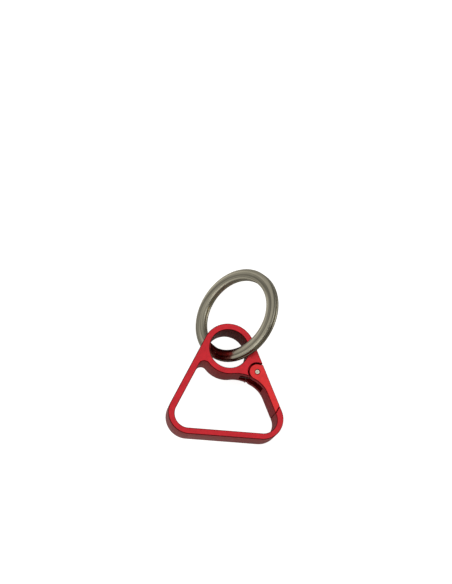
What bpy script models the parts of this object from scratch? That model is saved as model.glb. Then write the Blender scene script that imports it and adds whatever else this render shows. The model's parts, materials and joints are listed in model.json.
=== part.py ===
"""Carabiner keyring: a slotted aluminium frame, a sprung gate on a pin, and a split ring in the eye.

Everything is laid out in the frame's own plane: X to the right, Y from the base bar up to the eye,
Z out of the front face, with the centre of the round eye at the origin. An empty then tilts the
whole keyring and sets it down on the plane Z = 0, lying on one corner of the frame and on the ring.
"""

import math

import bmesh
import bpy
from mathutils import Matrix, Vector

# Frame: a flat plate with a round eye at its apex and a triangular opening under it
THICKNESS = 0.008
EYE_RADIUS = 0.0064
APEX_RADIUS = 0.00855
ARCH_RADIUS = 0.0085
CORNER_RADIUS = 0.0069
CORNER_X = 0.0116
CORNER_Y = -0.0220
SIDE_WIDTH = 0.0023
BASE_WIDTH = 0.0020
INNER_CORNER_RADIUS = 0.0045
ARM_FILLET = 0.00185
SHOULDER_RADIUS = 0.0106
SHOULDER_X = 0.0036
HORN_ALONG = 0.00835
RIM_CHAMFER = 0.00015

# Gate and hinge, placed along the right-hand side from the point level with the eye's centre
PIN_ALONG = 0.01027
HEAD_RADIUS = 0.00268
SOCKET_RADIUS = 0.0030
GATE_CURVE_END = 0.0180
MITRE_OUTER = 0.02306
MITRE_INNER = 0.02485
MITRE_GAP = 0.0003
SLOT_WIDTH = 0.0042
TONGUE_WIDTH = 0.0040
TONGUE_RADIUS = 0.0020
TONGUE_OUTER_RADIUS = 0.00255
TONGUE_REACH = 0.0024
POCKET_WIDTH = 0.0019
POCKET_RADIUS = 0.0018
POCKET_MOUTH = (193.0, 320.0)
POCKET_REACH = 0.0048
KNUCKLE_RADIUS = 0.0028
LEG_SLOT_FLOOR = 0.00125
LEG_SLOT_END = 0.0158
LEG_SLOT_ROUND = 0.0007
WALL_SLOT_X = 0.0040
WALL_SLOT_Y = -0.0076
WALL_SLOT_SLOPE = 0.0005

# Hinge pin
PIN_RADIUS = 0.00075
PIN_HOLE_RADIUS = 0.0008
PIN_LENGTH = 0.0079
PIN_CHAMFER = 0.0001
DIMPLE_RADIUS = 0.0004
DIMPLE_FLOOR_RADIUS = 0.00024
DIMPLE_DEPTH = 0.00012

# Torsion spring around the pin
WIRE_RADIUS = 0.000175
COIL_RADIUS = 0.00115
COIL_RISE = 0.0012
COIL_TURNS = 3
FIXED_LEG_END = (0.0046, -0.0079)
GATE_LEG_ALONG = 0.0152
GATE_LEG_DEPTH = 0.00148

# Split ring: two flat turns of one wire
RING_OUTER = 0.0160
RING_INNER = 0.0128
RING_WIRE = 0.00115
RING_GAP = 0.0001
RING_ROUNDING = 0.0003
RING_TIP = 250.0
RING_CROSSING = 30.0
RING_TIP_GAP = 2.0

# How the ring hangs in the eye
RING_AXIS_X = 0.00022
RING_YAW = -5.6
RING_LEAN = -45.9
RING_CENTRE = (0.00122, 0.01297)

# How the keyring lies at rest: rolled onto the corner below the gate, and propped by the ring
LIE_PITCH = -2.4
LIE_ROLL = 18.7

# Fineness: degrees between points of an arc and of the coil, and the sides of a cylinder
ARC_STEP = 6.0
COIL_STEP = 15.0
ROUND_SIDES = 32

# Edges turning more than this are rims, and more than this are shaded sharp, in degrees
RIM_ANGLE = 60.0
SHARP_ANGLE = 30.0

# How far a cutter runs past the face it opens, and how near points must be to be welded
OVERRUN = 0.002
WELD_DISTANCE = 1e-7

SIDE_ANGLE = math.degrees(
    math.atan2(CORNER_Y, CORNER_X)
    + math.acos((APEX_RADIUS - CORNER_RADIUS) / math.hypot(CORNER_X, CORNER_Y))
)
PIN_DEPTH = HEAD_RADIUS


def polar(angle, radius=1.0):
    return Vector((math.cos(math.radians(angle)), math.sin(math.radians(angle)))) * radius


SIDE_OUT = polar(SIDE_ANGLE)
SIDE_DOWN = polar(SIDE_ANGLE - 90)


def beside(along, depth):
    """A point of the right-hand side: how far down it, and how far in from its outer edge."""
    return SIDE_OUT * (APEX_RADIUS - depth) + SIDE_DOWN * along


EYE = Vector((0, 0))
PIN = beside(PIN_ALONG, PIN_DEPTH)


def arc(centre, radius, start, end):
    """Points on an arc from one angle to the other, both in degrees."""
    steps = max(1, math.ceil(abs(end - start) / ARC_STEP))
    angles = [start + (end - start) * i / steps for i in range(steps + 1)]
    return [centre + polar(angle, radius) for angle in angles]


def angle_to(origin, target):
    step = target - origin
    return math.degrees(math.atan2(step.y, step.x)) % 360


def meet_circles(first, first_radius, second, second_radius, side):
    """Where two circles cross, on the given side (1 or -1) of the line between their centres."""
    apart = (second - first).length
    along = (apart**2 + first_radius**2 - second_radius**2) / (2 * apart)
    across = math.sqrt(first_radius**2 - along**2) * side
    unit = (second - first) / apart
    return first + unit * along + Vector((-unit.y, unit.x)) * across


def between_lines(out_a, reach_a, out_b, reach_b):
    """The point that lies at the given reaches along two outward normals."""
    det = out_a.x * out_b.y - out_a.y * out_b.x
    x = (reach_a * out_b.y - reach_b * out_a.y) / det
    y = (out_a.x * reach_b - out_b.x * reach_a) / det
    return Vector((x, y))


def mirrored(point):
    return Vector((-point.x, point.y))


def frame_outline():
    """The frame's edge, anticlockwise from the horn over the hinge to the hinge's inner side."""
    right = SIDE_ANGLE
    left = 180 - SIDE_ANGLE
    corner = Vector((CORNER_X, CORNER_Y))
    base_out = Vector((0, -1))
    base_reach = CORNER_RADIUS - CORNER_Y
    inner = between_lines(
        SIDE_OUT,
        APEX_RADIUS - SIDE_WIDTH - INNER_CORNER_RADIUS,
        base_out,
        base_reach - BASE_WIDTH - INNER_CORNER_RADIUS,
    )
    half_gap = MITRE_GAP / 2 / math.cos(math.atan2(MITRE_INNER - MITRE_OUTER, SIDE_WIDTH))

    # The fillet at the top of the left arm touches the arm's inner edge and the arch
    fillet_reach = APEX_RADIUS - SIDE_WIDTH - ARM_FILLET
    fillet_down = math.sqrt((ARCH_RADIUS + ARM_FILLET) ** 2 - fillet_reach**2)
    fillet = mirrored(SIDE_OUT * fillet_reach + SIDE_DOWN * fillet_down)

    # The shoulder beside the hinge touches the arch from outside
    shoulder_away = ARCH_RADIUS + SHOULDER_RADIUS
    shoulder = Vector((SHOULDER_X, -math.sqrt(shoulder_away**2 - SHOULDER_X**2)))
    mouth = meet_circles(shoulder, SHOULDER_RADIUS, PIN, SOCKET_RADIUS, 1)

    horn_off = PIN_ALONG - HORN_ALONG
    horn_depth = PIN_DEPTH - math.sqrt(SOCKET_RADIUS**2 - horn_off**2)
    horn = beside(HORN_ALONG, horn_depth)

    points = [beside(HORN_ALONG, 0)]
    points += arc(EYE, APEX_RADIUS, right, left)
    points += arc(mirrored(corner), CORNER_RADIUS, left, 270)
    points += arc(corner, CORNER_RADIUS, 270, 360 + right)
    points += [beside(MITRE_OUTER + half_gap, 0), beside(MITRE_INNER + half_gap, SIDE_WIDTH)]
    points += arc(inner, INNER_CORNER_RADIUS, 360 + right, 270)
    points += arc(mirrored(inner), INNER_CORNER_RADIUS, 270, left)
    points += arc(fillet, ARM_FILLET, left, angle_to(fillet, EYE))
    points += arc(EYE, ARCH_RADIUS, angle_to(EYE, fillet), angle_to(EYE, shoulder))[1:]
    points += arc(shoulder, SHOULDER_RADIUS, angle_to(shoulder, EYE), angle_to(shoulder, mouth))[1:]
    points += arc(PIN, SOCKET_RADIUS, angle_to(PIN, mouth), angle_to(PIN, horn))[1:]
    return points


def gate_outline():
    """The gate's edge, anticlockwise from its outer end up round the head and down its inner side."""
    rise = GATE_CURVE_END - PIN_ALONG
    step = SIDE_WIDTH - PIN_DEPTH
    curve_radius = (rise**2 + step**2 - HEAD_RADIUS**2) / (2 * (HEAD_RADIUS - step))
    curve = beside(GATE_CURVE_END, SIDE_WIDTH + curve_radius)
    half_gap = MITRE_GAP / 2 / math.cos(math.atan2(MITRE_INNER - MITRE_OUTER, SIDE_WIDTH))

    points = [beside(MITRE_OUTER - half_gap, 0)]
    points += arc(PIN, HEAD_RADIUS, SIDE_ANGLE, angle_to(PIN, curve))
    points += arc(curve, curve_radius, angle_to(curve, PIN), SIDE_ANGLE)[1:]
    points += [beside(MITRE_INNER - half_gap, SIDE_WIDTH)]
    return points


def tongue_outline():
    """The frame's knuckle: nearly flush on the outer side, and set back on the inner side."""
    inward = angle_to(PIN, EYE)
    root = PIN + polar(inward, TONGUE_REACH)
    return (
        arc(PIN, TONGUE_OUTER_RADIUS, inward - 180, 90)
        + arc(root, TONGUE_RADIUS, 90, inward + 90)
        + arc(PIN, TONGUE_RADIUS, inward + 90, inward + 180)
    )


def pocket_outline():
    """The space for the coil, which opens towards the inner side for the two legs."""
    first, last = POCKET_MOUTH
    return arc(PIN, POCKET_RADIUS, last - 360, first) + [
        PIN + polar(first, POCKET_REACH),
        PIN + polar((first + last) / 2, POCKET_REACH),
        PIN + polar(last, POCKET_REACH),
    ]


def leg_slot_outline():
    """The spring leg's slot in the gate's inner edge, round at its far end."""
    centre = beside(LEG_SLOT_END - LEG_SLOT_ROUND, LEG_SLOT_FLOOR + LEG_SLOT_ROUND)
    far_end = arc(centre, LEG_SLOT_ROUND, SIDE_ANGLE, SIDE_ANGLE - 90)
    return [beside(PIN_ALONG, LEG_SLOT_FLOOR)] + far_end + [
        beside(LEG_SLOT_END, SIDE_WIDTH + OVERRUN),
        beside(PIN_ALONG, SIDE_WIDTH + 2 * OVERRUN),
    ]


def wall_slot_outline():
    """The slot in the frame's inner wall where the spring's fixed leg bears."""
    low = WALL_SLOT_Y - OVERRUN
    return [
        Vector((WALL_SLOT_X, low)),
        Vector((PIN.x, low)),
        Vector((PIN.x, WALL_SLOT_Y)),
        Vector((WALL_SLOT_X + WALL_SLOT_SLOPE, WALL_SLOT_Y)),
    ]


def material(name, colour, metallic, roughness):
    made = bpy.data.materials.new(name)
    made.use_nodes = True
    shader = made.node_tree.nodes["Principled BSDF"]
    shader.inputs["Base Color"].default_value = (*colour, 1)
    shader.inputs["Metallic"].default_value = metallic
    shader.inputs["Roughness"].default_value = roughness
    made.diffuse_color = (*colour, 1)
    return made


def mesh_from_curve(curve, collection):
    """The curve object as a welded mesh object of the same name, in the same place."""
    bpy.context.scene.collection.objects.link(curve)
    graph = bpy.context.evaluated_depsgraph_get()
    mesh = bpy.data.meshes.new_from_object(curve.evaluated_get(graph))
    name = curve.name
    curve_data = curve.data
    bpy.data.objects.remove(curve)
    bpy.data.curves.remove(curve_data)
    shape = bmesh.new()
    shape.from_mesh(mesh)
    bmesh.ops.remove_doubles(shape, verts=shape.verts, dist=WELD_DISTANCE)
    bmesh.ops.recalc_face_normals(shape, faces=shape.faces)
    shape.to_mesh(mesh)
    shape.free()
    made = bpy.data.objects.new(name, mesh)
    collection.objects.link(made)
    return made


def add_loop(curve, points, closed=True):
    spline = curve.splines.new("POLY")
    spline.points.add(len(points) - 1)
    for slot, point in zip(spline.points, points):
        slot.co = (*point.to_3d(), 1)
    spline.use_cyclic_u = closed


def extruded(name, outlines, width, collection):
    """A flat plate of the given outlines, half its width each side of Z = 0."""
    curve = bpy.data.curves.new(name, "CURVE")
    curve.dimensions = "2D"
    curve.fill_mode = "BOTH"
    curve.extrude = width / 2
    for outline in outlines:
        add_loop(curve, outline)
    return mesh_from_curve(bpy.data.objects.new(name, curve), collection)


def chamfer_rims(plate):
    """A small chamfer round the two faces of a plate."""
    shape = bmesh.new()
    shape.from_mesh(plate.data)
    weight = shape.edges.layers.float.new("bevel_weight_edge")
    for edge in shape.edges:
        on_rim = len(edge.link_faces) == 2 and edge.calc_face_angle() > math.radians(RIM_ANGLE)
        flat = abs(edge.verts[0].co.z - edge.verts[1].co.z) < WELD_DISTANCE
        edge[weight] = 1.0 if on_rim and flat else 0.0
    shape.to_mesh(plate.data)
    shape.free()
    bevel = plate.modifiers.new("Rim chamfer", "BEVEL")
    bevel.limit_method = "WEIGHT"
    bevel.width = RIM_CHAMFER
    bevel.segments = 1
    bevel.use_clamp_overlap = False


def cylinder(name, centre, radius, width, collection):
    mesh = bpy.data.meshes.new(name)
    shape = bmesh.new()
    bmesh.ops.create_cone(
        shape, cap_ends=True, segments=ROUND_SIDES, radius1=radius, radius2=radius, depth=width
    )
    bmesh.ops.translate(shape, vec=centre.to_3d(), verts=shape.verts)
    shape.to_mesh(mesh)
    shape.free()
    made = bpy.data.objects.new(name, mesh)
    collection.objects.link(made)
    return made


def boolean(target, other, operation="DIFFERENCE"):
    other.hide_render = True
    other.display_type = "WIRE"
    step = target.modifiers.new(other.name, "BOOLEAN")
    step.operation = operation
    step.solver = "EXACT"
    step.object = other


def make_frame(parts, cutters):
    frame = extruded("frame", [frame_outline(), arc(EYE, EYE_RADIUS, 0, 360)[:-1]], THICKNESS, parts)
    chamfer_rims(frame)
    tongue = extruded("tongue", [tongue_outline()], TONGUE_WIDTH, cutters)
    pocket = extruded("coil_pocket", [pocket_outline()], POCKET_WIDTH, cutters)
    hole = cylinder("tongue_hole", PIN, PIN_HOLE_RADIUS, THICKNESS, cutters)
    wall_slot = extruded("wall_slot", [wall_slot_outline()], SLOT_WIDTH, cutters)
    boolean(frame, wall_slot)
    boolean(frame, tongue, "UNION")
    boolean(frame, pocket)
    boolean(frame, hole)
    return frame


def make_gate(parts, cutters):
    gate = extruded("gate", [gate_outline()], THICKNESS, parts)
    chamfer_rims(gate)
    knuckle = cylinder("knuckle_slot", PIN, KNUCKLE_RADIUS, SLOT_WIDTH, cutters)
    leg_slot = extruded("leg_slot", [leg_slot_outline()], SLOT_WIDTH, cutters)
    hole = cylinder("ear_hole", PIN, PIN_HOLE_RADIUS, THICKNESS + OVERRUN, cutters)
    for cutter in (knuckle, leg_slot, hole):
        boolean(gate, cutter)
    return gate


def make_pin(parts):
    """A turned pin with a shallow dimple in each end, where it was staked."""
    end = PIN_LENGTH / 2
    upper = [
        (0, end - DIMPLE_DEPTH),
        (DIMPLE_FLOOR_RADIUS, end - DIMPLE_DEPTH),
        (DIMPLE_RADIUS, end),
        (PIN_RADIUS - PIN_CHAMFER, end),
        (PIN_RADIUS, end - PIN_CHAMFER),
    ]
    profile = upper + [(radius, -height) for radius, height in reversed(upper)]
    mesh = bpy.data.meshes.new("hinge_pin")
    edges = [(i, i + 1) for i in range(len(profile) - 1)]
    mesh.from_pydata([(radius, 0, height) for radius, height in profile], edges, [])
    pin = bpy.data.objects.new("hinge_pin", mesh)
    parts.objects.link(pin)
    screw = pin.modifiers.new("Turn", "SCREW")
    screw.steps = ROUND_SIDES
    screw.render_steps = ROUND_SIDES
    screw.use_merge_vertices = True
    screw.merge_threshold = WELD_DISTANCE
    pin.location = PIN.to_3d()
    return pin


def tangent_angle(point, side):
    """Where a line from the point touches the coil's circle, as an angle about the pin."""
    away = point - PIN
    return angle_to(PIN, point) + side * math.degrees(math.acos(COIL_RADIUS / away.length))


def spring_path():
    """The wire's middle line: the fixed leg, the coil upwards, then the leg in the gate."""
    fixed_end = Vector(FIXED_LEG_END)
    gate_end = beside(GATE_LEG_ALONG, GATE_LEG_DEPTH)
    start = tangent_angle(fixed_end, 1)
    end = tangent_angle(gate_end, -1)
    sweep = (end - start) % 360 + 360 * (COIL_TURNS - 1)
    steps = math.ceil(sweep / COIL_STEP)
    path = [fixed_end.to_3d() - Vector((0, 0, COIL_RISE / 2))]
    for i in range(steps + 1):
        point = PIN + polar(start + sweep * i / steps, COIL_RADIUS)
        path.append(Vector((point.x, point.y, COIL_RISE * (i / steps - 0.5))))
    path.append(gate_end.to_3d() + Vector((0, 0, COIL_RISE / 2)))
    return path


def make_spring(parts):
    curve = bpy.data.curves.new("gate_spring", "CURVE")
    curve.dimensions = "3D"
    curve.bevel_depth = WIRE_RADIUS
    curve.bevel_resolution = 2
    curve.use_fill_caps = True
    add_loop(curve, spring_path(), closed=False)
    return mesh_from_curve(bpy.data.objects.new("gate_spring", curve), parts)


def ring_level(turned):
    """Height of the wire's middle after it has turned this far from its back tip, in degrees."""
    climb = (RING_WIRE + RING_GAP) / 2
    whole = 720 - RING_CROSSING - 2 * RING_TIP_GAP
    share = (turned - (whole - RING_CROSSING) / 2) / RING_CROSSING
    share = min(max(share, 0.0), 1.0)
    return climb * (2 * (3 * share**2 - 2 * share**3) - 1)


def make_ring(parts):
    """Two flat turns of one wire, which crosses from the back turn to the front between its tips."""
    middle = (RING_OUTER + RING_INNER) / 2
    whole = 720 - RING_CROSSING - 2 * RING_TIP_GAP
    steps = math.ceil(whole / ARC_STEP)
    path = []
    for i in range(steps + 1):
        turned = whole * i / steps
        point = polar(RING_TIP + (whole - turned) - 360, middle)
        path.append(Vector((point.x, point.y, ring_level(turned))))

    half_width = (RING_OUTER - RING_INNER) / 2
    half_height = RING_WIRE / 2
    section = bpy.data.curves.new("ring_section", "CURVE")
    section.dimensions = "2D"
    corners = []
    for x, y, start in ((1, 1, 0), (-1, 1, 90), (-1, -1, 180), (1, -1, 270)):
        centre = Vector((x * (half_width - RING_ROUNDING), y * (half_height - RING_ROUNDING)))
        corners += [centre + polar(start + turn, RING_ROUNDING) for turn in (0, 45, 90)]
    add_loop(section, corners)
    section_object = bpy.data.objects.new("ring_section", section)

    curve = bpy.data.curves.new("split_ring", "CURVE")
    curve.dimensions = "3D"
    curve.twist_mode = "Z_UP"
    curve.bevel_mode = "OBJECT"
    curve.bevel_object = section_object
    curve.use_fill_caps = True
    add_loop(curve, path, closed=False)
    ring = mesh_from_curve(bpy.data.objects.new("split_ring", curve), parts)
    bpy.data.objects.remove(section_object)
    bpy.data.curves.remove(section)
    ring.data.transform(Matrix.Translation((*RING_CENTRE, 0)))
    return ring


def pivot(name, parent, matrix, collection):
    empty = bpy.data.objects.new(name, None)
    empty.empty_display_size = 0.004
    empty.parent = parent
    empty.matrix_local = matrix
    collection.objects.link(empty)
    return empty


def smooth(part):
    part.data.shade_smooth()
    part.data.set_sharp_from_angle(angle=math.radians(SHARP_ANGLE))


def hang_on(part, pivot_empty, place=Matrix()):
    """Parents the part to a pivot, keeping it where it is in the frame's plane."""
    part.parent = pivot_empty
    part.matrix_local = place


def stand_on_floor(root, parts):
    """Moves the keyring so that its box stands on the origin."""
    root.rotation_euler = (math.radians(LIE_PITCH), math.radians(LIE_ROLL), 0)
    bpy.context.view_layer.update()
    graph = bpy.context.evaluated_depsgraph_get()
    points = []
    for part in parts:
        shown = part.evaluated_get(graph)
        points += [shown.matrix_world @ vertex.co for vertex in shown.to_mesh().vertices]
        shown.to_mesh_clear()
    low = [min(point[i] for point in points) for i in range(3)]
    high = [max(point[i] for point in points) for i in range(3)]
    root.location = (-(low[0] + high[0]) / 2, -(low[1] + high[1]) / 2, -low[2])
    bpy.context.view_layer.update()


def main():
    for old in list(bpy.data.objects):
        bpy.data.objects.remove(old)
    parts = bpy.data.collections.new("carabiner_keyring")
    cutters = bpy.data.collections.new("cutters")
    for collection in (parts, cutters):
        bpy.context.scene.collection.children.link(collection)

    red = material("red_anodised", (0.49, 0.024, 0.033), 0.6, 0.38)
    gate_red = material("red_anodised_gate", (0.72, 0.040, 0.045), 0.6, 0.36)
    steel = material("pin_steel", (0.55, 0.53, 0.42), 1.0, 0.3)
    spring_steel = material("spring_steel", (0.35, 0.34, 0.32), 1.0, 0.3)
    nickel = material("nickel_plate", (0.45, 0.43, 0.36), 1.0, 0.25)

    root = pivot("keyring", None, Matrix(), parts)
    frame = make_frame(parts, cutters)
    gate = make_gate(parts, cutters)
    pin = make_pin(parts)
    spring = make_spring(parts)
    ring = make_ring(parts)
    for part, finish in zip(
        (frame, gate, pin, spring, ring), (red, gate_red, steel, spring_steel, nickel)
    ):
        part.data.materials.append(finish)
        smooth(part)

    gate_pivot = pivot("gate_pivot", root, Matrix.Translation(PIN.to_3d()), parts)
    ring_pivot = pivot(
        "ring_pivot",
        root,
        Matrix.Translation((RING_AXIS_X, 0, 0))
        @ Matrix.Rotation(math.radians(RING_YAW), 4, "Z")
        @ Matrix.Rotation(math.radians(RING_LEAN), 4, "Y"),
        parts,
    )
    gate.data.transform(Matrix.Translation(-PIN.to_3d()))
    hang_on(gate, gate_pivot)
    hang_on(pin, gate_pivot)
    hang_on(ring, ring_pivot)
    for part in [frame, spring, *cutters.objects]:
        hang_on(part, root, part.matrix_local.copy())
    stand_on_floor(root, [frame, gate, pin, spring, ring])


main()
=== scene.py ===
"""Looks of the carabiner keyring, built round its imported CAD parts.

The pieces are laid out as in the CAD source, in the plane of the carabiner's plate: X to the right,
Y from the base bar up to the eye, Z out of the front face, with the eye's centre at the origin.
PLATE then places that plane in the row's frame. Lengths are in metres and angles in degrees.
"""

import json
import math

import bmesh
import bpy
from mathutils import Matrix, Vector


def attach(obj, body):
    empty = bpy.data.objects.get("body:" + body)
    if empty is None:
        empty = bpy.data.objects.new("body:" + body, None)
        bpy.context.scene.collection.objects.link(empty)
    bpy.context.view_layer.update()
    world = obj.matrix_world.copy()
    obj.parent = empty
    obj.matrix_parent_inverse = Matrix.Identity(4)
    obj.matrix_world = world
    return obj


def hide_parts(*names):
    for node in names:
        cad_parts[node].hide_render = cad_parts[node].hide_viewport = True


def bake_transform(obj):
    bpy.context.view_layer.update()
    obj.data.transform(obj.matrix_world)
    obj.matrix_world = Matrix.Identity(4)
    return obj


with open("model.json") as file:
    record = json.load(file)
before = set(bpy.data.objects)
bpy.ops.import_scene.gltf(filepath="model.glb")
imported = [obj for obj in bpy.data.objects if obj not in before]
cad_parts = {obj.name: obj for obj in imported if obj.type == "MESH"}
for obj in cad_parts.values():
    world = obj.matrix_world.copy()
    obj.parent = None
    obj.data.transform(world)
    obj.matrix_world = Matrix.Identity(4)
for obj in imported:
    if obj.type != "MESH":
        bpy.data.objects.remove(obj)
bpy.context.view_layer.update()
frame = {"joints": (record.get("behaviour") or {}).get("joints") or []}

# Plate, as in the CAD source
THICKNESS = 0.008
EYE_RADIUS = 0.0064
APEX_RADIUS = 0.00855
ARCH_RADIUS = 0.0085
CORNER_RADIUS = 0.0069
CORNER_X = 0.0116
CORNER_Y = -0.0220
SIDE_WIDTH = 0.0023
BASE_WIDTH = 0.0020
INNER_CORNER_RADIUS = 0.0045
ARM_FILLET = 0.00185
SHOULDER_RADIUS = 0.0106
SHOULDER_X = 0.0036
HORN_ALONG = 0.00835

# Gate and hinge, as in the CAD source, along the right-hand side from level with the eye's centre
PIN_ALONG = 0.01027
PIN_DEPTH = 0.00268
HEAD_RADIUS = 0.00268
SOCKET_RADIUS = 0.0030
GATE_CURVE_END = 0.0180
MITRE_OUTER = 0.02306
MITRE_INNER = 0.02485
SLOT_WIDTH = 0.0042
TONGUE_WIDTH = 0.0040
TONGUE_RADIUS = 0.0020
TONGUE_OUTER_RADIUS = 0.00255
TONGUE_REACH = 0.0024
POCKET_WIDTH = 0.0019
POCKET_RADIUS = 0.0018
POCKET_MOUTH = (193.0, 320.0)
POCKET_REACH = 0.0048
KNUCKLE_RADIUS = 0.0028
LEG_SLOT_FLOOR = 0.00125
LEG_SLOT_END = 0.0158
LEG_SLOT_ROUND = 0.0007
WALL_SLOT_X = 0.0040
WALL_SLOT_Y = -0.0076
WALL_SLOT_SLOPE = 0.0005

# Hinge pin and spring, as in the CAD source
PIN_RADIUS = 0.00075
PIN_HOLE_RADIUS = 0.0008
PIN_LENGTH = 0.0079
WIRE_RADIUS = 0.000175
COIL_RADIUS = 0.00115
COIL_RISE = 0.0012
COIL_TURNS = 3
FIXED_LEG_END = (0.0046, -0.0079)
GATE_LEG_ALONG = 0.0152
GATE_LEG_DEPTH = 0.00148

# Split ring, as in the CAD source
RING_OUTER = 0.0160
RING_INNER = 0.0128
RING_WIRE = 0.00115
RING_GAP = 0.0001
RING_TIP = 250.0
RING_CROSSING = 30.0
RING_TIP_GAP = 2.0
RING_AXIS_X = 0.00022
RING_YAW = -5.6
RING_LEAN = -45.9
RING_CENTRE = (0.00122, 0.01297)

# How the keyring lies
LIE_PITCH = -2.4
LIE_ROLL = 18.7

# Finer steps than the CAD's: degrees of an arc or coil per edge, and counts of edges
ARC_STEP = 2.0
COIL_STEP = 7.5
ROUND_SIDES = 96
RIM_SEGMENTS = 3
WIRE_SEGMENTS = 4
CORNER_STEPS = 8
CROWN_STEPS = 16

# Shapes that only the visual model has. Its mitre gap is narrower than the CAD's 0.3 mm, its dimples
# are shallower than the CAD's 0.12 mm, and its ring wire is wider than the CAD's by RING_SWELL a side.
MITRE_GAP = 0.00003
MITRE_EASE = 0.00014
MITRE_SHADE = 0.00017
SHOULDER_ALONG = 0.00878
RIM_WIDTH = 0.00024
COUNTERSINK = 0.00016
PIN_EDGE = 0.00014
DIMPLE_RADIUS = 0.00040
DIMPLE_DEPTH = 0.00008
RING_SWELL = 0.00023
RING_CORNER = 0.00030
RING_FLAT = 0.0005
RING_CROWN = 0.00013

# How surfaces are joined and sorted: a normal's Z tells a face of the plate from a wall
SHARP_ANGLE = 35.0
FACE_LEAN = 0.999
WALL_LEAN = 0.02
OVERRUN = 0.002
WELD_DISTANCE = 1e-7
LOCAL = "local_place"

# Textures: noise cells per metre, bump depth in metres, and shares of the base colour
MOTTLE_SCALE = 260.0
HANDLING_SCALE = 900.0
GRAIN_SCALE = 7000.0
GRAIN_STRENGTH = 0.2
ANODISE_COAT_ROUGHNESS = 0.25
LINE_SCALE = 2600.0
# Painted reflection: the ring's light and dark bands, with their size, drift and shares of its colour
BAND_SCALE = 1500.0
BAND_DRIFT = 0.03
BAND_DARK = 0.52
BAND_LIGHT = 1.30
WEAR_SCALE = 420.0
LINE_STRENGTH = 0.25
STREAK_STRENGTH = 0.15
BUMP_DEPTH = 0.00001
# Painted shade: share of the ring's colour on its round edges and walls
EDGE_SHADE = 0.55

# Camera
CAMERA_PLACE = (0.04934, -0.07826, 0.29973)
CAMERA_TURN = (19.015, 9.006, 2.814)
CAMERA_LENS = 57.27

# Floor, room and lamps
FLOOR_HALF_SIZE = 3.0
FLOOR_COLOUR = (0.74, 0.73, 0.71)
FLOOR_GLOW = 0.90
ROOM_COLOUR = (1.0, 0.98, 0.92)
ROOM_LEVEL = 0.27
# Each side of the room: its direction, the angles where it starts and is full, and what it adds
ROOM_SIDES = (
    ((0.5, -0.8, 0.15), 55.0, 25.0, -0.16),
    ((-0.2, 0.95, 0.35), 50.0, 20.0, -0.07),
    ((0.78, 0.60, 0.05), 26.0, 12.0, -0.12),
    ((-0.85, 0.25, 0.35), 50.0, 25.0, 0.08),
    ((-0.82, 0.54, 0.13), 12.0, 6.0, 0.20),
)
# The lamps: name, place, width and height, brightness and colour
LAMPS = (
    ("key_softbox", (0.42, 0.32, 0.80), (0.75, 0.70), 0.90, (1.0, 1.0, 0.96)),
    ("left_softbox", (-0.52, 0.05, 0.76), (0.30, 0.45), 1.3, (1.0, 1.0, 0.96)),
    ("right_softbox", (0.80, -0.03, 0.16), (0.40, 0.30), 2.4, (1.0, 1.0, 0.95)),
)

SIDE_ANGLE = math.degrees(
    math.atan2(CORNER_Y, CORNER_X)
    + math.acos((APEX_RADIUS - CORNER_RADIUS) / math.hypot(CORNER_X, CORNER_Y))
)


# ---------------------------------------------------------------- places in the plate's plane


def polar(angle, radius=1.0):
    return Vector((math.cos(math.radians(angle)), math.sin(math.radians(angle)))) * radius


SIDE_OUT = polar(SIDE_ANGLE)
SIDE_DOWN = polar(SIDE_ANGLE - 90)


def beside(along, depth):
    """A point of the right-hand side: how far down it, and how far in from its outer edge."""
    return SIDE_OUT * (APEX_RADIUS - depth) + SIDE_DOWN * along


EYE = Vector((0, 0))
PIN = beside(PIN_ALONG, PIN_DEPTH)

# The hinge joint gives the pin's place in the row's frame, and with it the plate's
GATE_HINGE = next(joint for joint in frame["joints"] if joint["name"] == "gate_hinge")
ROLL = Matrix.Rotation(math.radians(LIE_ROLL), 4, "Y")
PITCH = Matrix.Rotation(math.radians(LIE_PITCH), 4, "X")
TURN = ROLL @ PITCH
PLATE = Matrix.Translation(Vector(GATE_HINGE["pos_m"]) - TURN @ PIN.to_3d()) @ TURN
RING = (
    PLATE
    @ Matrix.Translation((RING_AXIS_X, 0, 0))
    @ Matrix.Rotation(math.radians(RING_YAW), 4, "Z")
    @ Matrix.Rotation(math.radians(RING_LEAN), 4, "Y")
    @ Matrix.Translation((*RING_CENTRE, 0))
)


def arc(centre, radius, start, end):
    """Points on an arc from one angle to the other."""
    steps = max(1, math.ceil(abs(end - start) / ARC_STEP))
    angles = [start + (end - start) * i / steps for i in range(steps + 1)]
    return [centre + polar(angle, radius) for angle in angles]


def angle_to(origin, target):
    step = target - origin
    return math.degrees(math.atan2(step.y, step.x)) % 360


def meet_circles(first, first_radius, second, second_radius, side):
    """Where two circles cross, on the given side (1 or -1) of the line between their centres."""
    apart = (second - first).length
    along = (apart**2 + first_radius**2 - second_radius**2) / (2 * apart)
    across = math.sqrt(first_radius**2 - along**2) * side
    unit = (second - first) / apart
    return first + unit * along + Vector((-unit.y, unit.x)) * across


def between_lines(out_a, reach_a, out_b, reach_b):
    """The point that lies at the given reaches along two outward normals."""
    det = out_a.x * out_b.y - out_a.y * out_b.x
    x = (reach_a * out_b.y - reach_b * out_a.y) / det
    y = (out_a.x * reach_b - out_b.x * reach_a) / det
    return Vector((x, y))


def mirrored(point):
    return Vector((-point.x, point.y))


HALF_MITRE = MITRE_GAP / 2 / math.cos(math.atan2(MITRE_INNER - MITRE_OUTER, SIDE_WIDTH))


def mitre_end(shift, away):
    """The slanting cut of a side bar, from its outer edge to its inner, with both corners eased."""
    outer = beside(MITRE_OUTER + shift, 0)
    inner = beside(MITRE_INNER + shift, SIDE_WIDTH)
    slant = (inner - outer).normalized() * MITRE_EASE
    ease = SIDE_DOWN * MITRE_EASE * away
    return [outer + ease, outer + slant, inner - slant, inner + ease]


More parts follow.
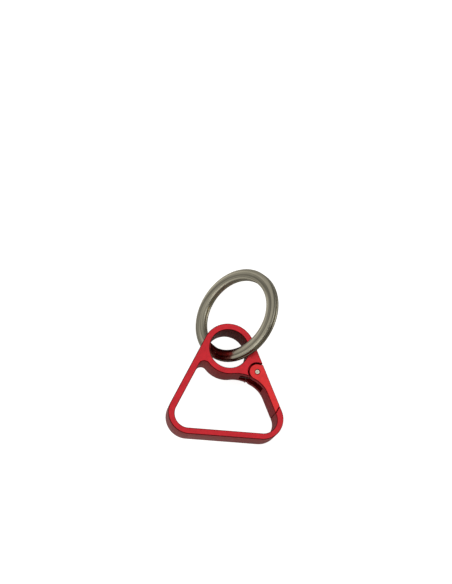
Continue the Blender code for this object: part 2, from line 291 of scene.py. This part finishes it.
def frame_outline():
    """The frame's edge, anticlockwise from the horn over the hinge to the hinge's inner side."""
    right = SIDE_ANGLE
    left = 180 - SIDE_ANGLE
    corner = Vector((CORNER_X, CORNER_Y))
    inner = between_lines(
        SIDE_OUT,
        APEX_RADIUS - SIDE_WIDTH - INNER_CORNER_RADIUS,
        Vector((0, -1)),
        CORNER_RADIUS - CORNER_Y - BASE_WIDTH - INNER_CORNER_RADIUS,
    )

    # The fillet at the top of the left arm touches the arm's inner edge and the arch
    fillet_reach = APEX_RADIUS - SIDE_WIDTH - ARM_FILLET
    fillet_down = math.sqrt((ARCH_RADIUS + ARM_FILLET) ** 2 - fillet_reach**2)
    fillet = mirrored(SIDE_OUT * fillet_reach + SIDE_DOWN * fillet_down)

    # The shoulder beside the hinge touches the arch from outside
    shoulder_away = ARCH_RADIUS + SHOULDER_RADIUS
    shoulder = Vector((SHOULDER_X, -math.sqrt(shoulder_away**2 - SHOULDER_X**2)))
    mouth = meet_circles(shoulder, SHOULDER_RADIUS, PIN, SOCKET_RADIUS, 1)

    horn_off = PIN_ALONG - HORN_ALONG
    horn = beside(HORN_ALONG, PIN_DEPTH - math.sqrt(SOCKET_RADIUS**2 - horn_off**2))

    points = [beside(HORN_ALONG, 0)]
    points += arc(EYE, APEX_RADIUS, right, left)
    points += arc(mirrored(corner), CORNER_RADIUS, left, 270)
    points += arc(corner, CORNER_RADIUS, 270, 360 + right)
    points += mitre_end(HALF_MITRE, 1)
    points += arc(inner, INNER_CORNER_RADIUS, 360 + right, 270)
    points += arc(mirrored(inner), INNER_CORNER_RADIUS, 270, left)
    points += arc(fillet, ARM_FILLET, left, angle_to(fillet, EYE))
    points += arc(EYE, ARCH_RADIUS, angle_to(EYE, fillet), angle_to(EYE, shoulder))[1:]
    points += arc(shoulder, SHOULDER_RADIUS, angle_to(shoulder, EYE), angle_to(shoulder, mouth))[1:]
    points += arc(PIN, SOCKET_RADIUS, angle_to(PIN, mouth), angle_to(PIN, horn))[1:]
    return points


def gate_outline():
    """The gate's edge, anticlockwise from its outer end up round the head and down its inner side."""
    rise = GATE_CURVE_END - PIN_ALONG
    step = SIDE_WIDTH - PIN_DEPTH
    curve_radius = (rise**2 + step**2 - HEAD_RADIUS**2) / (2 * (HEAD_RADIUS - step))
    curve = beside(GATE_CURVE_END, SIDE_WIDTH + curve_radius)
    shoulder = beside(SHOULDER_ALONG, 0)
    off_shoulder = angle_to(PIN, shoulder) + math.degrees(
        math.acos(HEAD_RADIUS / (shoulder - PIN).length)
    )
    points = [*reversed(mitre_end(-HALF_MITRE, -1)[:2]), shoulder]
    points += arc(PIN, HEAD_RADIUS, off_shoulder, angle_to(PIN, curve))
    points += arc(curve, curve_radius, angle_to(curve, PIN), SIDE_ANGLE)[1:]
    points += reversed(mitre_end(-HALF_MITRE, -1)[2:])
    return points


def tongue_outline():
    """The frame's knuckle: nearly flush on the outer side, and set back on the inner side."""
    inward = angle_to(PIN, EYE)
    root = PIN + polar(inward, TONGUE_REACH)
    return (
        arc(PIN, TONGUE_OUTER_RADIUS, inward - 180, 90)
        + arc(root, TONGUE_RADIUS, 90, inward + 90)
        + arc(PIN, TONGUE_RADIUS, inward + 90, inward + 180)
    )


def pocket_outline():
    """The space for the coil, which opens towards the inner side for the two legs."""
    first, last = POCKET_MOUTH
    return arc(PIN, POCKET_RADIUS, last - 360, first) + [
        PIN + polar(first, POCKET_REACH),
        PIN + polar((first + last) / 2, POCKET_REACH),
        PIN + polar(last, POCKET_REACH),
    ]


def leg_slot_outline():
    """The spring leg's slot in the gate's inner edge, round at its far end."""
    centre = beside(LEG_SLOT_END - LEG_SLOT_ROUND, LEG_SLOT_FLOOR + LEG_SLOT_ROUND)
    far_end = arc(centre, LEG_SLOT_ROUND, SIDE_ANGLE, SIDE_ANGLE - 90)
    return [beside(PIN_ALONG, LEG_SLOT_FLOOR)] + far_end + [
        beside(LEG_SLOT_END, SIDE_WIDTH + OVERRUN),
        beside(PIN_ALONG, SIDE_WIDTH + 2 * OVERRUN),
    ]


def wall_slot_outline():
    """The slot in the frame's inner wall where the spring's fixed leg bears."""
    low = WALL_SLOT_Y - OVERRUN
    return [
        Vector((WALL_SLOT_X, low)),
        Vector((PIN.x, low)),
        Vector((PIN.x, WALL_SLOT_Y)),
        Vector((WALL_SLOT_X + WALL_SLOT_SLOPE, WALL_SLOT_Y)),
    ]


# ---------------------------------------------------------------- shapes


def mesh_from(source):
    """The evaluated object as a welded mesh, with the object removed."""
    if source.name not in bpy.context.scene.collection.objects:
        bpy.context.scene.collection.objects.link(source)
    bpy.context.view_layer.update()
    graph = bpy.context.evaluated_depsgraph_get()
    mesh = bpy.data.meshes.new_from_object(source.evaluated_get(graph))
    bpy.data.objects.remove(source)
    shape = bmesh.new()
    shape.from_mesh(mesh)
    bmesh.ops.remove_doubles(shape, verts=shape.verts, dist=WELD_DISTANCE)
    shape.to_mesh(mesh)
    shape.free()
    return mesh


def placed(name, mesh, matrix=None):
    """An object of that mesh. A matrix moves the mesh, which keeps its first places as LOCAL."""
    if matrix is not None:
        local = mesh.attributes.new(LOCAL, "FLOAT_VECTOR", "POINT")
        for vertex, slot in zip(mesh.vertices, local.data):
            slot.vector = vertex.co
        mesh.transform(matrix)
    made = bpy.data.objects.new(name, mesh)
    bpy.context.scene.collection.objects.link(made)
    return made


def add_loop(curve, points, closed=True):
    spline = curve.splines.new("POLY")
    spline.points.add(len(points) - 1)
    for slot, point in zip(spline.points, points):
        slot.co = (*point.to_3d(), 1)
    spline.use_cyclic_u = closed


def extruded(name, outlines, width, rim=0.0):
    """A flat plate of the given outlines, centred on Z = 0, with its edges rounded by the rim."""
    curve = bpy.data.curves.new(name, "CURVE")
    curve.dimensions = "2D"
    curve.fill_mode = "BOTH"
    curve.extrude = width / 2 - rim
    curve.bevel_depth = rim
    curve.bevel_resolution = RIM_SEGMENTS
    curve.offset = -rim
    for outline in outlines:
        add_loop(curve, outline)
    mesh = mesh_from(bpy.data.objects.new(name, curve))
    mesh.name = name
    return placed(name, mesh)


def turned(name, profile):
    """A turned solid from its profile of radius and height, top to bottom."""
    mesh = bpy.data.meshes.new(name)
    edges = [(i, i + 1) for i in range(len(profile) - 1)]
    mesh.from_pydata([(radius, 0, height) for radius, height in profile], edges, [])
    made = bpy.data.objects.new(name, mesh)
    screw = made.modifiers.new("Turn", "SCREW")
    screw.steps = ROUND_SIDES
    screw.render_steps = ROUND_SIDES
    screw.use_merge_vertices = True
    screw.merge_threshold = WELD_DISTANCE
    made = placed(name, mesh_from(made))
    made.location = PIN.to_3d()
    return made


def hole_cutter(name, sink):
    """A cutter for the pin's hole, which widens to the given countersink at both faces."""
    face = THICKNESS / 2
    wide = PIN_HOLE_RADIUS + sink + OVERRUN
    return turned(
        name,
        [
            (0, face + OVERRUN),
            (wide, face + OVERRUN),
            (PIN_HOLE_RADIUS, face - sink),
            (PIN_HOLE_RADIUS, sink - face),
            (wide, -face - OVERRUN),
            (0, -face - OVERRUN),
        ],
    )


def boolean(target, other, operation="DIFFERENCE"):
    other.hide_render = True
    step = target.modifiers.new(other.name, "BOOLEAN")
    step.operation = operation
    step.solver = "EXACT"
    step.object = other


FACE_SLOT, RIM_SLOT, WALL_SLOT, CAVITY_SLOT, BORE_SLOT = range(5)


def beside_mitre(point):
    """Whether a point is in the narrow strip along the slanted joint of gate and nose."""
    outer = beside(MITRE_OUTER, 0)
    inner = beside(MITRE_INNER, SIDE_WIDTH)
    along = (inner - outer).normalized()
    away = (point.xy - outer).dot(Vector((-along.y, along.x)))
    return abs(away) < MITRE_SHADE and (point.xy - outer).length < 2 * SIDE_WIDTH


def finished_plate(plate, cutters, name):
    """Applies the plate's modifiers and sorts its surface into faces, rims, walls, cuts and bore.

    The strip along the mitre counts as a cut space, whose darker material paints the shade of the
    joint's gap as a dark line.
    """
    mesh = mesh_from(plate)
    mesh.name = name
    for cutter in cutters:
        bpy.data.objects.remove(cutter)
    mesh.materials.clear()
    for _ in range(BORE_SLOT + 1):
        mesh.materials.append(None)
    for polygon in mesh.polygons:
        lean = abs(polygon.normal.z)
        height = max(abs(mesh.vertices[index].co.z) for index in polygon.vertices)
        if height < SLOT_WIDTH / 2 + WELD_DISTANCE:
            polygon.material_index = CAVITY_SLOT
        elif lean > FACE_LEAN:
            polygon.material_index = FACE_SLOT
        elif beside_mitre(polygon.center):
            polygon.material_index = CAVITY_SLOT
        elif lean < WALL_LEAN and polygon.center.xy.length < (EYE_RADIUS + ARCH_RADIUS) / 2:
            polygon.material_index = BORE_SLOT
        else:
            polygon.material_index = WALL_SLOT if lean < WALL_LEAN else RIM_SLOT
    made = placed(name, mesh, PLATE)
    shade(made)
    keep_faces_flat(mesh)
    return made


def shade(piece):
    piece.data.shade_smooth()
    piece.data.set_sharp_from_angle(angle=math.radians(SHARP_ANGLE))


def keep_faces_flat(mesh):
    """Gives the plate's two faces, and the rims where they begin, the faces' own normals."""
    flat = {}
    for polygon in mesh.polygons:
        if polygon.material_index == FACE_SLOT:
            for index in polygon.vertices:
                flat[index] = polygon.normal.copy()
    normals = [Vector(corner.vector) for corner in mesh.corner_normals]
    for polygon in mesh.polygons:
        if polygon.material_index not in (FACE_SLOT, RIM_SLOT):
            continue
        for corner in polygon.loop_indices:
            index = mesh.loops[corner].vertex_index
            if index in flat:
                normals[corner] = flat[index]
    mesh.normals_split_custom_set(normals)


# ---------------------------------------------------------------- the pieces


def make_frame():
    eye = arc(EYE, EYE_RADIUS, 0, 360)[:-1]
    plate = extruded("frame_plate", [frame_outline(), eye], THICKNESS, RIM_WIDTH)
    wall_slot = extruded("wall_slot", [wall_slot_outline()], SLOT_WIDTH)
    tongue = extruded("tongue", [tongue_outline()], TONGUE_WIDTH)
    pocket = extruded("coil_pocket", [pocket_outline()], POCKET_WIDTH)
    hole = hole_cutter("tongue_hole", 0)
    boolean(plate, wall_slot)
    boolean(plate, tongue, "UNION")
    boolean(plate, pocket)
    boolean(plate, hole)
    return finished_plate(plate, (wall_slot, tongue, pocket, hole), "frame_shell")


def make_gate():
    plate = extruded("gate_plate", [gate_outline()], THICKNESS, RIM_WIDTH)
    knuckle = extruded("knuckle_slot", [arc(PIN, KNUCKLE_RADIUS, 0, 360)[:-1]], SLOT_WIDTH)
    leg_slot = extruded("leg_slot", [leg_slot_outline()], SLOT_WIDTH)
    hole = hole_cutter("ear_hole", COUNTERSINK)
    for cutter in (knuckle, leg_slot, hole):
        boolean(plate, cutter)
    return finished_plate(plate, (knuckle, leg_slot, hole), "gate_bar")


def make_pin():
    """A turned pin with rounded edges and a punched dimple in each end."""
    end = PIN_LENGTH / 2
    upper = [(0, end - DIMPLE_DEPTH)]
    for i in range(1, CORNER_STEPS + 1):
        share = i / CORNER_STEPS
        upper.append((DIMPLE_RADIUS * share, end - DIMPLE_DEPTH * (1 - share**2) ** 1.5))
    for i in range(CORNER_STEPS + 1):
        turn = 90 * (1 - i / CORNER_STEPS)
        corner = polar(turn, PIN_EDGE)
        upper.append((PIN_RADIUS - PIN_EDGE + corner.x, end - PIN_EDGE + corner.y))
    profile = upper + [(radius, -height) for radius, height in reversed(upper)]
    turning = turned("pin_turning", profile)
    pin = placed("pin_turned", turning.data, PLATE @ Matrix.Translation(turning.location))
    bpy.data.objects.remove(turning)
    shade(pin)
    return pin


def tangent_angle(point, side):
    """Where a line from the point touches the coil's circle, as an angle about the pin."""
    away = point - PIN
    return angle_to(PIN, point) + side * math.degrees(math.acos(COIL_RADIUS / away.length))


def spring_path():
    """The wire's middle line: the fixed leg, the coil upwards, then the leg in the gate."""
    fixed_end = Vector(FIXED_LEG_END)
    gate_end = beside(GATE_LEG_ALONG, GATE_LEG_DEPTH)
    start = tangent_angle(fixed_end, 1)
    sweep = (tangent_angle(gate_end, -1) - start) % 360 + 360 * (COIL_TURNS - 1)
    steps = math.ceil(sweep / COIL_STEP)
    path = [fixed_end.to_3d() - Vector((0, 0, COIL_RISE / 2))]
    for i in range(steps + 1):
        point = PIN + polar(start + sweep * i / steps, COIL_RADIUS)
        path.append(Vector((point.x, point.y, COIL_RISE * (i / steps - 0.5))))
    path.append(gate_end.to_3d() + Vector((0, 0, COIL_RISE / 2)))
    return path


def make_spring():
    curve = bpy.data.curves.new("spring_wire", "CURVE")
    curve.dimensions = "3D"
    curve.bevel_depth = WIRE_RADIUS
    curve.bevel_resolution = WIRE_SEGMENTS
    curve.use_fill_caps = True
    add_loop(curve, spring_path(), closed=False)
    spring = placed("spring_wire", mesh_from(bpy.data.objects.new("spring_wire", curve)), PLATE)
    shade(spring)
    return spring


def ring_section():
    """The wire's section: flat in the middle, curving down to round corners on both broad sides."""
    half_width = (RING_OUTER - RING_INNER) / 2 + RING_SWELL
    half_height = RING_WIRE / 2
    corner_x = half_width - RING_CORNER
    corner_y = half_height - RING_CROWN - RING_CORNER
    crown = []
    for i in range(1, CROWN_STEPS):
        across = corner_x * (1 - 2 * i / CROWN_STEPS)
        drop = max(abs(across) - RING_FLAT, 0.0) / (corner_x - RING_FLAT)
        crown.append(Vector((across, half_height - RING_CROWN * drop**2)))
    points = []
    for side, start in ((1, 0), (-1, 180)):
        points += quarter(Vector((side * corner_x, side * corner_y)), start)
        points += [point * side for point in crown]
        points += quarter(Vector((-side * corner_x, side * corner_y)), start + 90)
    return points


def quarter(centre, start):
    """A round corner of the ring's wire: a quarter circle from the given angle."""
    return [
        centre + polar(start + 90 * i / CORNER_STEPS, RING_CORNER) for i in range(CORNER_STEPS + 1)
    ]


def ring_level(turned_by, whole):
    """Height of the wire's middle after it has turned this far from its back tip."""
    climb = (RING_WIRE + RING_GAP) / 2
    share = (turned_by - (whole - RING_CROSSING) / 2) / RING_CROSSING
    share = min(max(share, 0.0), 1.0)
    return climb * (2 * (3 * share**2 - 2 * share**3) - 1)


def make_ring():
    """Two flat turns of one wire, which crosses from the back turn to the front between its tips."""
    middle = (RING_OUTER + RING_INNER) / 2
    whole = 720 - RING_CROSSING - 2 * RING_TIP_GAP
    steps = math.ceil(whole / ARC_STEP)
    path = []
    for i in range(steps + 1):
        turned_by = whole * i / steps
        point = polar(RING_TIP + (whole - turned_by) - 360, middle)
        path.append(Vector((point.x, point.y, ring_level(turned_by, whole))))

    section = bpy.data.curves.new("ring_section", "CURVE")
    section.dimensions = "2D"
    add_loop(section, ring_section())
    section_object = bpy.data.objects.new("ring_section", section)

    curve = bpy.data.curves.new("ring_wire", "CURVE")
    curve.dimensions = "3D"
    curve.twist_mode = "Z_UP"
    curve.bevel_mode = "OBJECT"
    curve.bevel_object = section_object
    curve.use_fill_caps = True
    add_loop(curve, path, closed=False)
    ring = placed("ring_wire", mesh_from(bpy.data.objects.new("ring_wire", curve)), RING)
    bpy.data.objects.remove(section_object)
    shade(ring)
    return ring


# ---------------------------------------------------------------- materials


def new_material(name):
    made = bpy.data.materials.new(name)
    made.use_nodes = True
    return made, made.node_tree, made.node_tree.nodes["Principled BSDF"]


def wire_in(tree, kind, settings=None, **inputs):
    """A node whose inputs, named with _ for a space, take numbers, or sockets to link."""
    node = tree.nodes.new(kind)
    for key, value in (settings or {}).items():
        setattr(node, key, value)
    for key, value in inputs.items():
        socket = node.inputs[key.replace("_", " ")]
        if isinstance(value, bpy.types.NodeSocket):
            tree.links.new(value, socket)
        else:
            socket.default_value = value
    return node


def local_place(tree):
    """The surface's place in its piece's own plane, in metres."""
    node = wire_in(tree, "ShaderNodeAttribute", {"attribute_name": LOCAL})
    return node.outputs["Vector"]


def noise(tree, vector, scale, detail=2.0, roughness=0.5):
    node = wire_in(
        tree, "ShaderNodeTexNoise", Vector=vector, Scale=scale, Detail=detail, Roughness=roughness
    )
    return node.outputs["Fac"]


def spread(tree, value, low, high, start=0.0, end=1.0):
    """The value's range from start to end, spread over low to high."""
    node = wire_in(
        tree,
        "ShaderNodeMapRange",
        Value=value,
        From_Min=start,
        From_Max=end,
        To_Min=low,
        To_Max=high,
    )
    return node.outputs["Result"]


def two_tone(tree, factor, first, second):
    node = tree.nodes.new("ShaderNodeMix")
    node.data_type = "RGBA"
    tree.links.new(factor, node.inputs["Factor"])
    node.inputs[6].default_value = (*first, 1)
    node.inputs[7].default_value = (*second, 1)
    return node.outputs[2]


def bumped(tree, height, strength):
    node = wire_in(
        tree, "ShaderNodeBump", Height=height, Strength=strength, Distance=BUMP_DEPTH
    )
    return node.outputs["Normal"]


def anodised(name, colour, roughness, coat=0.40):
    """Satin anodised aluminium: faint mottling of the dye over a fine blasted grain."""
    made, tree, shader = new_material(name)
    place = local_place(tree)
    deep = [channel * 0.95 for channel in colour]
    light = [min(1.0, channel * 1.04) for channel in colour]
    mottle = spread(tree, noise(tree, place, MOTTLE_SCALE, 4.0, 0.6), 0.0, 1.0, 0.3, 0.7)
    tree.links.new(two_tone(tree, mottle, deep, light), shader.inputs["Base Color"])
    handling = noise(tree, place, HANDLING_SCALE, 3.0)
    tree.links.new(
        spread(tree, handling, roughness - 0.05, roughness + 0.05, 0.3, 0.7),
        shader.inputs["Roughness"],
    )
    grain = noise(tree, place, GRAIN_SCALE, 3.0, 0.6)
    tree.links.new(bumped(tree, grain, GRAIN_STRENGTH), shader.inputs["Normal"])
    shader.inputs["Metallic"].default_value = 1.0
    shader.inputs["Coat Weight"].default_value = coat
    shader.inputs["Coat Roughness"].default_value = ANODISE_COAT_ROUGHNESS
    return made


def plated(name, colour, roughness):
    """Bright nickel with circular draw lines and handling marks, painted light and dark reflection
    bands, and painted shade on its round edges and walls.
    """
    made, tree, shader = new_material(name)
    place = local_place(tree)
    split = wire_in(tree, "ShaderNodeSeparateXYZ", Vector=place)
    flat = wire_in(tree, "ShaderNodeCombineXYZ", X=split.outputs["X"], Y=split.outputs["Y"])
    radius = wire_in(tree, "ShaderNodeVectorMath", {"operation": "LENGTH"})
    tree.links.new(flat.outputs["Vector"], radius.inputs[0])
    across = wire_in(
        tree, "ShaderNodeCombineXYZ", X=radius.outputs["Value"], Z=split.outputs["Z"]
    ).outputs["Vector"]
    lines = noise(tree, across, LINE_SCALE, 3.0, 0.6)
    worn = noise(tree, place, WEAR_SCALE, 4.0, 0.65)

    # Painted reflection: light and dark bands across the wire, which fade in and out round the ring,
    # stand in for the bands its broad sides reflect
    drifting = wire_in(tree, "ShaderNodeVectorMath", {"operation": "SCALE"}, Scale=BAND_DRIFT)
    tree.links.new(place, drifting.inputs[0])
    shifted = wire_in(tree, "ShaderNodeVectorMath", {"operation": "ADD"})
    tree.links.new(across, shifted.inputs[0])
    tree.links.new(drifting.outputs["Vector"], shifted.inputs[1])
    bands = noise(tree, shifted.outputs["Vector"], BAND_SCALE, 2.0)
    reflection_bands = two_tone(
        tree,
        spread(tree, bands, 0.0, 1.0, 0.38, 0.62),
        [channel * BAND_DARK for channel in colour],
        [min(1.0, channel * BAND_LIGHT) for channel in colour],
    )

    # Painted shade: the wire's round edges and walls are darker than its broad sides
    middle = (RING_OUTER + RING_INNER) / 2
    from_middle = wire_in(tree, "ShaderNodeMath", {"operation": "SUBTRACT"})
    tree.links.new(radius.outputs["Value"], from_middle.inputs[0])
    from_middle.inputs[1].default_value = middle
    off = wire_in(tree, "ShaderNodeMath", {"operation": "ABSOLUTE"}, Value=from_middle.outputs[0])
    half_width = (RING_OUTER - RING_INNER) / 2 + RING_SWELL
    edge = spread(tree, off.outputs[0], 0.0, 1.0, half_width - RING_CORNER, half_width)
    darker = tree.nodes.new("ShaderNodeMix")
    darker.data_type = "RGBA"
    tree.links.new(edge, darker.inputs["Factor"])
    tree.links.new(reflection_bands, darker.inputs[6])
    darker.inputs[7].default_value = (*[channel * EDGE_SHADE for channel in colour], 1)
    tree.links.new(darker.outputs[2], shader.inputs["Base Color"])
    tree.links.new(
        spread(tree, worn, roughness - 0.05, roughness + 0.10, 0.35, 0.7),
        shader.inputs["Roughness"],
    )
    tree.links.new(bumped(tree, lines, LINE_STRENGTH), shader.inputs["Normal"])
    shader.inputs["Metallic"].default_value = 1.0
    return made


def plain_steel(name, colour, roughness, line_scale):
    """Turned or drawn steel, finely mottled in colour, roughness and bump."""
    made, tree, shader = new_material(name)
    place = local_place(tree)
    streaks = noise(tree, place, line_scale, 3.0, 0.6)
    dark = [channel * 0.8 for channel in colour]
    tree.links.new(two_tone(tree, streaks, dark, colour), shader.inputs["Base Color"])
    tree.links.new(
        spread(tree, streaks, roughness - 0.05, roughness + 0.08, 0.3, 0.7),
        shader.inputs["Roughness"],
    )
    tree.links.new(bumped(tree, streaks, STREAK_STRENGTH), shader.inputs["Normal"])
    shader.inputs["Metallic"].default_value = 1.0
    return made


def give(piece, *materials):
    """Fills the piece's slots in order. Clearing them would put every face back on the first."""
    slots = piece.data.materials
    while len(slots) < len(materials):
        slots.append(None)
    for i, made in enumerate(materials):
        slots[i] = made


# ---------------------------------------------------------------- stage


def make_floor():
    """A pale matt floor, with a glow that only the camera sees, so that it reads as white."""
    mesh = bpy.data.meshes.new("floor")
    shape = bmesh.new()
    bmesh.ops.create_grid(shape, x_segments=1, y_segments=1, size=FLOOR_HALF_SIZE)
    shape.to_mesh(mesh)
    shape.free()
    floor = placed("floor", mesh)
    made, tree, shader = new_material("pale_floor")
    shader.inputs["Base Color"].default_value = (*FLOOR_COLOUR, 1)
    shader.inputs["Roughness"].default_value = 0.9
    shader.inputs["Specular IOR Level"].default_value = 0.1
    path = tree.nodes.new("ShaderNodeLightPath")
    glow = spread(tree, path.outputs["Is Camera Ray"], 0.0, FLOOR_GLOW)
    shader.inputs["Emission Color"].default_value = (1, 1, 1, 1)
    tree.links.new(glow, shader.inputs["Emission Strength"])
    give(floor, made)


def make_world():
    """A dim room that is darker or brighter towards some sides, and white to the camera."""
    world = bpy.data.worlds.new("studio")
    bpy.context.scene.world = world
    world.use_nodes = True
    tree = world.node_tree
    tree.nodes.clear()
    facing = tree.nodes.new("ShaderNodeTexCoord").outputs["Generated"]
    level = ROOM_LEVEL
    for direction, edge, core, amount in ROOM_SIDES:
        toward = wire_in(tree, "ShaderNodeVectorMath", {"operation": "DOT_PRODUCT"})
        tree.links.new(facing, toward.inputs[0])
        toward.inputs[1].default_value = Vector(direction).normalized()
        start, end = math.cos(math.radians(edge)), math.cos(math.radians(core))
        share = spread(tree, toward.outputs["Value"], 0.0, amount, start, end)
        total = wire_in(tree, "ShaderNodeMath", {"operation": "ADD"})
        tree.links.new(share, total.inputs[0])
        if isinstance(level, float):
            total.inputs[1].default_value = level
        else:
            tree.links.new(level, total.inputs[1])
        level = total.outputs["Value"]
    room = wire_in(tree, "ShaderNodeBackground", Color=(*ROOM_COLOUR, 1), Strength=level)
    white = wire_in(tree, "ShaderNodeBackground", Color=(1, 1, 1, 1), Strength=1.0)
    path = tree.nodes.new("ShaderNodeLightPath")
    mix = tree.nodes.new("ShaderNodeMixShader")
    out = tree.nodes.new("ShaderNodeOutputWorld")
    tree.links.new(path.outputs["Is Camera Ray"], mix.inputs[0])
    tree.links.new(room.outputs[0], mix.inputs[1])
    tree.links.new(white.outputs[0], mix.inputs[2])
    tree.links.new(mix.outputs[0], out.inputs["Surface"])


def softbox(name, place, size, radiance, colour):
    """An oblong area light at that place, facing the object, of the given brightness."""
    width, height = size
    data = bpy.data.lights.new(name, "AREA")
    data.shape = "RECTANGLE"
    data.size, data.size_y = size
    data.energy = radiance * math.pi * width * height
    data.color = colour
    lamp = bpy.data.objects.new(name, data)
    lamp.location = place
    lamp.rotation_euler = Vector(place).to_track_quat("Z", "Y").to_euler()
    bpy.context.scene.collection.objects.link(lamp)


def make_camera():
    data = bpy.data.cameras.new("camera")
    data.lens = CAMERA_LENS
    camera = bpy.data.objects.new("camera", data)
    camera.location = CAMERA_PLACE
    camera.rotation_euler = [math.radians(angle) for angle in CAMERA_TURN]
    bpy.context.scene.collection.objects.link(camera)
    bpy.context.scene.camera = camera


bpy.context.scene.view_settings.view_transform = "Standard"
make_camera()
make_world()
make_floor()
for lamp in LAMPS:
    softbox(*lamp)

red = anodised("red_anodised", (0.60, 0.012, 0.024), 0.38)
# Painted shade: a darker copy of the frame's red on its rounded rims
shaded_red_rim = anodised("shaded_red_rim", (0.26, 0.006, 0.012), 0.34, coat=0.15)
# Painted shade: a darker copy of the red on the eye's bore, which lies in shade
shaded_red_bore = anodised("shaded_red_bore", (0.24, 0.007, 0.010), 0.40, coat=0.26)
# Painted shade: a near-black copy of the red in the slots, the coil's pocket and the mitre's strip
shaded_red_cavity = anodised("shaded_red_cavity", (0.38, 0.003, 0.009), 0.50, coat=0.05)
gate_red = anodised("gate_red_anodised", (0.73, 0.026, 0.029), 0.36)
# Painted shade: a darker copy of the gate's red on its rounded rims
shaded_gate_rim = anodised("gate_red_rim", (0.34, 0.007, 0.013), 0.34, coat=0.15)
# Painted shade: a darker copy of the gate's red on its walls
shaded_gate_wall = anodised("gate_red_wall", (0.62, 0.012, 0.034), 0.38, coat=0.24)
nickel = plated("nickel_plate", (0.66, 0.62, 0.50), 0.15)
pin_steel = plain_steel("pin_steel", (0.80, 0.76, 0.64), 0.28, 3000.0)
# Painted shade: the spring's steel is coloured dark for the shade it sits in within the pocket
spring_steel = plain_steel("spring_steel", (0.20, 0.19, 0.18), 0.35, 5000.0)

frame_shell = make_frame()
gate_bar = make_gate()
pin_turned = make_pin()
spring_wire = make_spring()
ring_wire = make_ring()

give(frame_shell, red, shaded_red_rim, red, shaded_red_cavity, shaded_red_bore)
give(gate_bar, gate_red, shaded_gate_rim, shaded_gate_wall, shaded_red_cavity, shaded_red_cavity)
give(pin_turned, pin_steel)
give(spring_wire, spring_steel)
give(ring_wire, nickel)

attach(frame_shell, "frame")
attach(gate_bar, "gate")
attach(pin_turned, "gate")
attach(ring_wire, "ring")
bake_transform(spring_wire)

for piece, node, slot in (
    (frame_shell, "frame", "red_anodised_frame"),
    (gate_bar, "gate", "red_anodised_gate"),
    (pin_turned, "hinge_pin", "pin_steel"),
    (spring_wire, "gate_spring", "spring_steel"),
    (ring_wire, "split_ring", "ring_nickel"),
):
    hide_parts(node)
